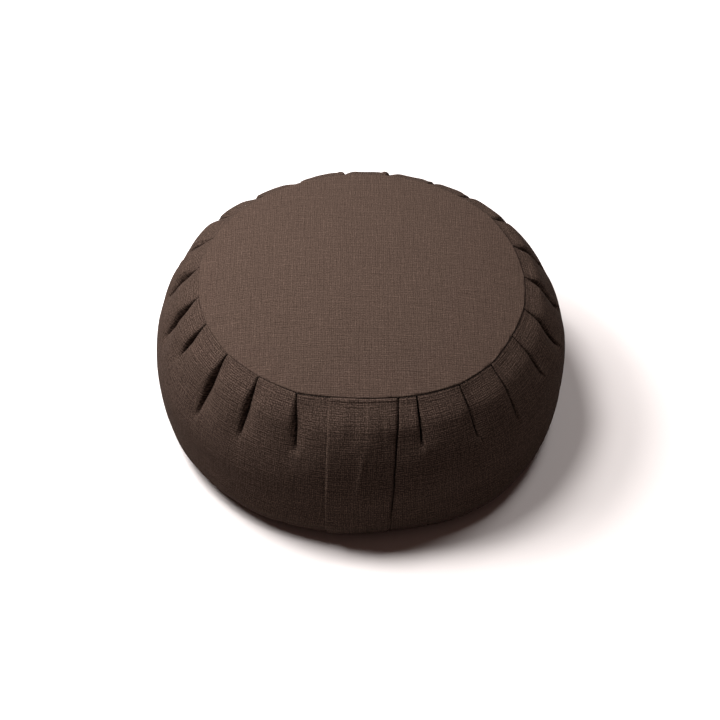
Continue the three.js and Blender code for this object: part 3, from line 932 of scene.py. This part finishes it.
def fold_ends(angle, along):
    """Where a fold runs out, its loose cloth stands up in a small bump."""
    total = np.zeros_like(along)
    for p in TOP_PLEATS:
        end = PLEAT_RUN * p.length * FOLD_END_PLACE
        away = np.mod(angle - p.angle - p.slant + 180, 360) - 180
        round_by = np.radians(away) * ROW_RADIUS - FOLD_END_ASIDE
        total += np.exp(-(round_by / FOLD_END_SPREAD[0]) ** 2 - ((along - end) / FOLD_END_SPREAD[1]) ** 2)
    return FOLD_END_BUMP * total


def make_side():
    angle, h, u, turn = build_side()
    along = np.repeat(ROWS, angle.shape[1], 1)
    h = h + unevenness(angle, along, SEED)
    h = h + settling(angle, along) + fold_ends(angle, along) + creased(SIDE_CREASES, angle, along)
    h = h - seam_dip(angle, along)
    points = side_surface(angle, h)
    # the seam allowance dives in under the top panel, and the base closes under the bottom panel
    edge = points[0]
    inner = edge * [ALLOWANCE_INSET, ALLOWANCE_INSET, 1] - [0, 0, ALLOWANCE_DEPTH]
    allowance = [edge - [0, 0, drop] for drop in ALLOWANCE_DROPS]
    base = points[-1] * [1, 1, 0] + [0, 0, BOTTOM_INSIDE]
    rows = np.concatenate([[inner, *allowance], points, [base]])
    u = np.concatenate([np.repeat(u[:1], 3, 0), u, u[-1:]])
    v = np.concatenate([np.full((3, angle.shape[1]), -3.0), along, along[-1:] + 2])
    return grid_object(
        "pleated_side_cloth", rows, u, v, SHADED_SIDE_CLOTH, u_turn=turn,
        first_pole=(0, 0, TOP_SEAM_HEIGHT + CROWN_RISE - SIDE_TOP_SINK), last_pole=(0, 0, BOTTOM_INSIDE),
    )


def panel_columns(corners):
    angles = [c[0] for c in corners] + [corners[0][0] + 360]
    runs = zip(angles[:-1], angles[1:])
    return np.concatenate([np.linspace(a, b, PANEL_STEPS, endpoint=False) for a, b in runs])


def seam_puckers(angle):
    """Small radial puckers where the panel is eased onto the seam, strongest at the front."""
    rng = np.random.default_rng(SEED + 2)
    turn = np.radians(angle)
    total = 0
    for _ in range(PUCKER_WAVES):
        total = total + np.cos(turn * rng.integers(*PUCKER_TURNS) + rng.uniform(0, 2 * math.pi))
    return total / 3 * mix(PUCKER_BACK, 1.0, smooth((0.3 - np.sin(turn)) / 1.2))


def round_panel(name, rows, upper, under):
    """A panel from its rings, its cloth laid flat from above, with the heights of its two middles."""
    poles = {"first_pole": (0, 0, upper), "last_pole": (0, 0, under)}
    return grid_object(name, rows, rows[:, :, 0], rows[:, :, 1], PANEL_CLOTH, **poles)


def make_top_panel():
    angle = panel_columns(TOP_CORNERS)
    seam = seam_radius(TOP_CORNERS, angle) - seam_gap(angle)
    mean = float(seam.mean())
    at_edge = 1 - np.array(PANEL_EDGE_STEPS) / mean
    rings = np.concatenate([np.arange(0.03, 0.9, 0.03), np.arange(0.9, 0.975, 0.015), at_edge])
    puckers = seam_puckers(angle)
    points = []
    for share in rings:
        radius = share * mix(mean, seam, smooth((share - CORNERED_FROM) / CORNERED_OVER))
        from_edge = (1 - share) * mean
        x = radius * np.cos(np.radians(angle))
        y = radius * np.sin(np.radians(angle))
        z = TOP_SEAM_HEIGHT + PANEL_EDGE_RISE + (CROWN_RISE - PANEL_EDGE_RISE) * (1 - share ** CROWN_POWER)
        over = max(0.0, 1 - from_edge / PANEL_EDGE_ROUND)
        z = z - PANEL_EDGE_ROUND * (1 - math.sqrt(max(0.0, 1 - over * over)))
        fading = math.exp(-from_edge / PUCKER_REACH)
        puckered = PUCKER_HEIGHT * puckers * fading * float(smooth(from_edge / PUCKER_EASE))
        points.append(np.stack([x, y, z + puckered], 1))
    edge = points[-1]
    inset = edge * [SKIRT_INSET, SKIRT_INSET, 1]
    skirt = [edge - [0, 0, SKIRT_DROP], inset - [0, 0, 2 * SKIRT_DROP]]
    under = [points[i] - [0, 0, SHEET_THICKNESS] for i in PANEL_UNDER_ROWS]
    rows = np.array(points + skirt + under)
    middle = TOP_SEAM_HEIGHT + CROWN_RISE
    return round_panel("top_panel_cloth", rows, middle, middle - SHEET_THICKNESS)


def make_bottom_panel():
    angle = panel_columns(BOTTOM_CORNERS)
    seam = seam_radius(BOTTOM_CORNERS, angle) - SEAM_GAP
    x, y = np.cos(np.radians(angle)), np.sin(np.radians(angle))
    rows = np.array([
        np.stack([share * seam * x, share * seam * y, np.full_like(angle, height)], 1)
        for share, height in BOTTOM_SECTION
    ])
    return round_panel("bottom_panel_cloth", rows, BOTTOM_SECTION[0][1], BOTTOM_SECTION[-1][1])


def make_band():
    left, right = BAND_EDGES
    face = np.linspace(1, 0, BAND_STEPS)
    tucked = np.linspace(0, 1, BAND_TUCKED_STEPS)[1:]
    behind = np.concatenate([
        np.array(BAND_EDGE_STEPS) - BAND_WIDTH,
        mix(-BAND_MOUTH, BAND_EDGE_RUN - BAND_WIDTH, face),
        mix(-BAND_MOUTH, BAND_OVERLAP - BAND_TUCK_CLEAR, tucked) + 0 * BAND_WIDTH,
    ], 1)
    across = BAND_WIDTH + behind
    angle = left + np.degrees(across / ROW_RADIUS)
    before = FOLDS[-2].angle
    outer = band_face(ROWS, BAND_WIDTH, behind)
    outer = outer + creased(BAND_CREASES, angle, ROWS) + panel_swell(ROWS) + settling(angle, ROWS)
    outer = outer + pushed(PUSH[-2], (angle - before) / (right - before))
    outer = outer + BAND_TOP_ROLL * np.exp(-(ROWS - BAND_TOP_ROLL_AT) ** 2) - seam_dip(left, ROWS)
    # a section of the cloth: its outer face, back along its inner face, and its pressed and rolled left edge
    inner = outer - BAND_THICKNESS
    outer = outer - BAND_BEVEL * np.clip(1 - across / BAND_BEVEL, 0, 1)
    half = (outer[:, :1] - inner[:, :1]) / 2
    turn = np.radians(np.linspace(90, 270, BAND_ROLL_STEPS)[1:-1])
    roll_x = half * np.cos(turn)
    roll_h = outer[:, :1] - half + half * np.sin(turn)
    x = np.concatenate([across, across[:, ::-1], roll_x[:, ::-1]], 1)
    h = np.concatenate([outer, inner[:, ::-1], roll_h[:, ::-1]], 1)
    points = side_surface(left + np.degrees(x / ROW_RADIUS), h)
    return grid_object(
        "closure_band_cloth", points, x, np.repeat(ROWS, x.shape[1], 1), SHADED_SIDE_CLOTH,
        first_pole=tuple(points[0].mean(0)), last_pole=tuple(points[-1].mean(0)),
    )


# Thread of the top seam: a row of stitches lying in the groove, with the knot where the sewing ends.
STITCH_PITCH = 3.0
STITCH_LENGTH = 2.7
THREAD_THICKNESS = 0.55
STITCH_UNEVENNESS = 0.14
STITCH_SEED = 5
THREAD_SINK = 0.25
THREAD_SINK_LEFT = 1.1
KNOT_ANGLE = 257.4
KNOT_TAIL = 2.6
KNOT_RISE = 0.25
DARK_PLY = (0.0035, 0.0021, 0.0016)
LIGHT_PLY = (0.016, 0.0102, 0.0080)


def dark_thread():
    material = bpy.data.materials.new("seam_thread")
    material.use_nodes = True
    tree = material.node_tree
    link = tree.links.new
    shader = tree.nodes["Principled BSDF"]
    shader.inputs["Specular IOR Level"].default_value = 0.1
    shader.inputs["Roughness"].default_value = 0.85
    place = tree.nodes.new("ShaderNodeTexCoord")
    plies = node(tree, "ShaderNodeTexNoise", Scale=2600.0, Detail=2.0, Roughness=0.6)
    link(place.outputs["Object"], plies.inputs["Vector"])
    colour = colour_between(tree, DARK_PLY, LIGHT_PLY, plies.outputs[0])
    link(colour, shader.inputs["Base Color"])
    bump = node(tree, "ShaderNodeBump", Strength=0.6, Distance=0.00008)
    link(plies.outputs[0], bump.inputs["Height"])
    link(bump.outputs[0], shader.inputs["Normal"])
    return material


SEAM_THREAD = dark_thread()


def stitch_tree():
    """Stitches along a line: one at every pitch, each a little longer or shorter than the next."""
    tree = bpy.data.node_groups.new("thread_stitches", "GeometryNodeTree")
    sockets = tree.interface
    sockets.new_socket("Line", in_out="INPUT", socket_type="NodeSocketGeometry")
    for name in ("Stitch Pitch", "Stitch Length", "Thread Thickness", "Unevenness"):
        sockets.new_socket(name, in_out="INPUT", socket_type="NodeSocketFloat")
    sockets.new_socket("Seed", in_out="INPUT", socket_type="NodeSocketInt")
    sockets.new_socket("Stitches", in_out="OUTPUT", socket_type="NodeSocketGeometry")
    add, link = tree.nodes.new, tree.links.new
    sizes = add("NodeGroupInput").outputs
    done = add("NodeGroupOutput")
    path = add("GeometryNodeMeshToCurve")
    link(sizes["Line"], path.inputs[0])
    bites = add("GeometryNodeCurveToPoints")
    bites.mode = "LENGTH"
    link(path.outputs[0], bites.inputs["Curve"])
    link(sizes["Stitch Pitch"], bites.inputs["Length"])
    turn = add("FunctionNodeAlignRotationToVector")
    turn.axis = "Z"
    link(bites.outputs["Tangent"], turn.inputs["Vector"])
    bead = node(tree, "GeometryNodeMeshUVSphere", Segments=8, Rings=5, Radius=0.5)
    round_off = add("GeometryNodeSetShadeSmooth")
    link(bead.outputs["Mesh"], round_off.inputs[0])
    uneven = add("FunctionNodeRandomValue")
    uneven.data_type = "FLOAT"
    floats = [s for s in uneven.inputs if s.type == "VALUE"]
    floats[0].default_value, floats[1].default_value = -1.0, 1.0
    link(sizes["Seed"], uneven.inputs["Seed"])
    drawn = next(s for s in uneven.outputs if s.type == "VALUE")
    change = maths(tree, "ADD", maths(tree, "MULTIPLY", drawn, sizes["Unevenness"]), 1.0)
    length = maths(tree, "MULTIPLY", change, sizes["Stitch Length"])
    size = add("ShaderNodeCombineXYZ")
    link(sizes["Thread Thickness"], size.inputs[0])
    link(sizes["Thread Thickness"], size.inputs[1])
    link(length, size.inputs[2])
    laid = add("GeometryNodeInstanceOnPoints")
    link(bites.outputs["Points"], laid.inputs["Points"])
    link(round_off.outputs[0], laid.inputs["Instance"])
    link(turn.outputs[0], laid.inputs["Rotation"])
    link(size.outputs[0], laid.inputs["Scale"])
    real = add("GeometryNodeRealizeInstances")
    link(laid.outputs[0], real.inputs[0])
    dyed = add("GeometryNodeSetMaterial")
    dyed.inputs["Material"].default_value = SEAM_THREAD
    link(real.outputs[0], dyed.inputs[0])
    link(dyed.outputs[0], done.inputs[0])
    return tree


def seam_line():
    """The line of the top seam, with the loose tail of the knot: points in metres and their edges."""
    angle = np.arange(0, 360, 0.5)
    radius = seam_radius(TOP_CORNERS, angle)
    sink = mix(THREAD_SINK, THREAD_SINK_LEFT, leftward(angle))
    turn = np.radians(angle)
    points = np.stack([radius * np.cos(turn), radius * np.sin(turn), TOP_SEAM_HEIGHT - sink], 1)
    edges = [(i, (i + 1) % len(points)) for i in range(len(points))]
    knot = math.radians(KNOT_ANGLE)
    ring = float(seam_radius(TOP_CORNERS, KNOT_ANGLE))
    tail = [(ring + d, knot + 0.004 * d, TOP_SEAM_HEIGHT + KNOT_RISE - 0.1 * d) for d in (0.0, KNOT_TAIL)]
    ends = np.array([(r * math.cos(a), r * math.sin(a), z) for r, a, z in tail])
    edges.append((len(points), len(points) + 1))
    return np.concatenate([points, ends]) * MM, edges


def make_seam_thread():
    points, edges = seam_line()
    mesh = bpy.data.meshes.new("seam_thread")
    mesh.from_pydata(points.tolist(), edges, [])
    thread = placed("seam_thread", mesh)
    tree = stitch_tree()
    stitches = thread.modifiers.new("stitches", "NODES")
    stitches.node_group = tree
    sizes = {
        "Stitch Pitch": STITCH_PITCH * MM,
        "Stitch Length": STITCH_LENGTH * MM,
        "Thread Thickness": THREAD_THICKNESS * MM,
        "Unevenness": STITCH_UNEVENNESS,
        "Seed": STITCH_SEED,
    }
    for socket in tree.interface.items_tree:
        if socket.name in sizes:
            stitches[socket.identifier] = sizes[socket.name]
    bpy.context.view_layer.update()
    sewn = bpy.data.meshes.new_from_object(thread.evaluated_get(bpy.context.evaluated_depsgraph_get()))
    thread.modifiers.clear()
    thread.data = sewn
    return thread


PUSH = filling_push()
side = make_side()
top_panel = make_top_panel()
bottom_panel = make_bottom_panel()
band = make_band()
thread = make_seam_thread()
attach(thread, "root")

for piece, node_name, slot_name in (
    (side, "pleated_side", "side_cloth"),
    (top_panel, "top_panel", "panel_cloth"),
    (bottom_panel, "bottom_panel", "panel_cloth"),
    (band, "closure_band", "side_cloth"),
):
    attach(piece, "root")
    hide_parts(node_name)


# Camera, floor and light: lengths in metres, power in watts.
CAMERA_TARGET = (-0.00126, 0.0, 0.0390)
CAMERA_ELEVATION = 44.97
CAMERA_DISTANCE = 2.2166
CAMERA_VIEW = 15.863
FLOOR_REACH = 12.0
FLOOR_COLOUR = (0.54, 0.505, 0.495, 1)
ROOM_STRENGTH = 0.10
ROOM_COLOUR = (1.0, 0.62, 0.53, 1)
LIT_PLACE = (0, 0, 0.05)
Lamp = namedtuple("Lamp", "name azimuth elevation distance size power")
LAMPS = [
    Lamp("key", 148, 54, 1.2, 0.4, 11.8),
    Lamp("left_key", 173, 54, 1.2, 0.4, 15.0),
    Lamp("overhead", 150, 70, 2.4, 0.8, 68),
    Lamp("right_overhead", 40, 64, 2.4, 0.8, 24),
]


def look_from(eye, target):
    return (Vector(target) - Vector(eye)).to_track_quat("-Z", "Y").to_euler()


def photo_camera():
    elevation = math.radians(CAMERA_ELEVATION)
    target = Vector(CAMERA_TARGET)
    eye = target + Vector((0, -math.cos(elevation), math.sin(elevation))) * CAMERA_DISTANCE
    data = bpy.data.cameras.new("camera")
    data.sensor_fit = "HORIZONTAL"
    data.sensor_width = 36.0
    data.angle = math.radians(CAMERA_VIEW)
    data.clip_end = 50
    camera = placed("camera", data)
    camera.location = eye
    camera.rotation_euler = look_from(eye, target)
    bpy.context.scene.camera = camera


def soft_light(lamp):
    az, el = math.radians(lamp.azimuth), math.radians(lamp.elevation)
    eye = Vector((math.cos(az) * math.cos(el), math.sin(az) * math.cos(el), math.sin(el))) * lamp.distance
    data = bpy.data.lights.new(lamp.name, "AREA")
    data.shape = "DISK"
    data.size = lamp.size
    data.energy = lamp.power
    light = placed(lamp.name, data)
    light.location = eye
    light.rotation_euler = look_from(eye, LIT_PLACE)


def pale_floor():
    mesh = bpy.data.meshes.new("floor")
    corners = [(FLOOR_REACH * x, FLOOR_REACH * y, 0) for x, y in ((-1, -1), (1, -1), (1, 1), (-1, 1))]
    mesh.from_pydata(corners, [], [(0, 1, 2, 3)])
    floor = placed("floor", mesh)
    paint = bpy.data.materials.new("pale_floor")
    paint.use_nodes = True
    shader = paint.node_tree.nodes["Principled BSDF"]
    shader.inputs["Base Color"].default_value = FLOOR_COLOUR
    shader.inputs["Roughness"].default_value = 0.9
    shader.inputs["Specular IOR Level"].default_value = 0.1
    mesh.materials.append(paint)


def room_light():
    world = bpy.data.worlds.new("room")
    world.use_nodes = True
    background = world.node_tree.nodes["Background"]
    background.inputs["Color"].default_value = ROOM_COLOUR
    background.inputs["Strength"].default_value = ROOM_STRENGTH
    bpy.context.scene.world = world


photo_camera()
pale_floor()
room_light()
for lamp in LAMPS:
    soft_light(lamp)
bpy.context.scene.view_settings.view_transform = "Standard"
